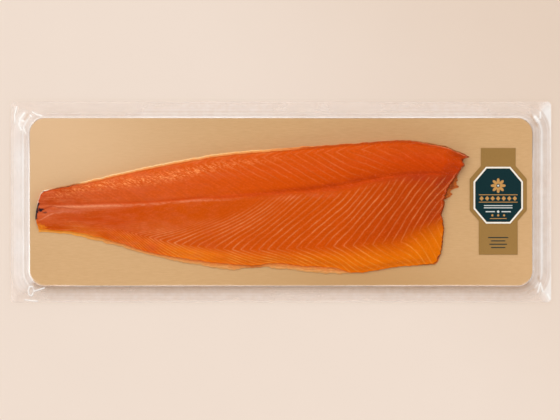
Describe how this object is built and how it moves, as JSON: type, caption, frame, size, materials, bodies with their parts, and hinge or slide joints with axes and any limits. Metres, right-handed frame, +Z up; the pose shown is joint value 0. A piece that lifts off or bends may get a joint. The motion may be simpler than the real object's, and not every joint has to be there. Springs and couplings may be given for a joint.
{
  "type": "pack of smoked salmon",
  "caption": "Vacuum pack of smoked salmon: a long boneless side of salmon on a gold card board, with a small badge label, sealed in a clear bag with a flat margin.",
  "frame": {"origin": "the middle of the bag's footprint, on the plane it rests on", "axes": "+X from the fish's tail to its head end, along the board; +Y from its belly to its back; +Z up, out of the board"},
  "size_m": [0.646, 0.24, 0.0274],
  "materials": {
    "clear_film": "clear, glossy vacuum film",
    "gold_card": "satin gold foil on card, with a fine grain along its length",
    "salmon_flesh": "moist smoked salmon under film, with pale flake lines",
    "salmon_skin": "fish skin, cream to brown at its edges",
    "label_bronze": "satin bronze paper",
    "label_cream": "matt cream print",
    "label_green": "matt dark green print"
  },
  "bodies": {
    "root": {"bag": "clear_film", "board": "gold_card", "salmon_flesh": "salmon_flesh", "salmon_skin": "salmon_skin", "label_backing": "label_bronze", "label_border": "label_cream", "label_field": "label_green"}
  },
  "joints": []
}
